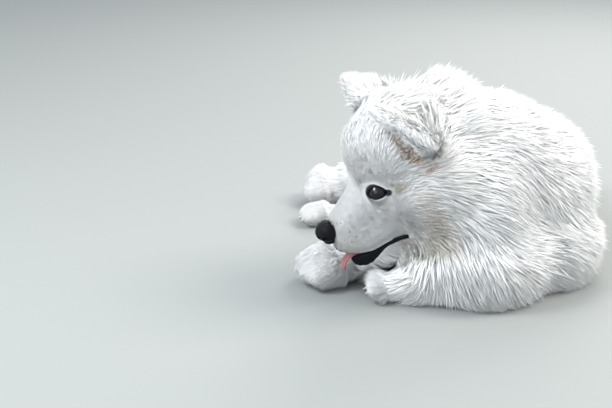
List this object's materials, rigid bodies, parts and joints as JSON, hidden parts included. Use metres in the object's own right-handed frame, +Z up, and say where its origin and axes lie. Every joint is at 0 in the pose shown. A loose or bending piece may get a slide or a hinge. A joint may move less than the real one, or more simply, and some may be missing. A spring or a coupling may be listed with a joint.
{
  "type": "lying samoyed puppy model",
  "caption": "Life-size still model of a white fluffy spitz-type puppy, lying down with its head turned to its right and its mouth a little open.",
  "frame": {"origin": "on the floor, under the middle of the whole animal's box", "axes": "+Z up; the trunk heads towards -Y, the face towards -X, and the dog's left side is towards +X"},
  "size_m": [0.3621, 0.4734, 0.2234],
  "materials": {
    "coat": "soft dense fur",
    "black_skin": "moist fine grain",
    "eye": "wet gloss",
    "tongue": "moist"
  },
  "bodies": {
    "root": {"head": "coat", "jaw": "coat", "neck": "coat", "chest": "coat", "rump": "coat", "tail": "coat", "ear_left": "coat", "ear_right": "coat", "foreleg_left": "coat", "foreleg_right": "coat", "forepaw_left": "coat", "forepaw_right": "coat", "hindleg_left": "coat", "hindleg_right": "coat", "hindpaw_left": "coat", "hindpaw_right": "coat", "eye_left": "eye", "eye_right": "eye", "nose": "black_skin", "tongue": "tongue"}
  },
  "joints": []
}
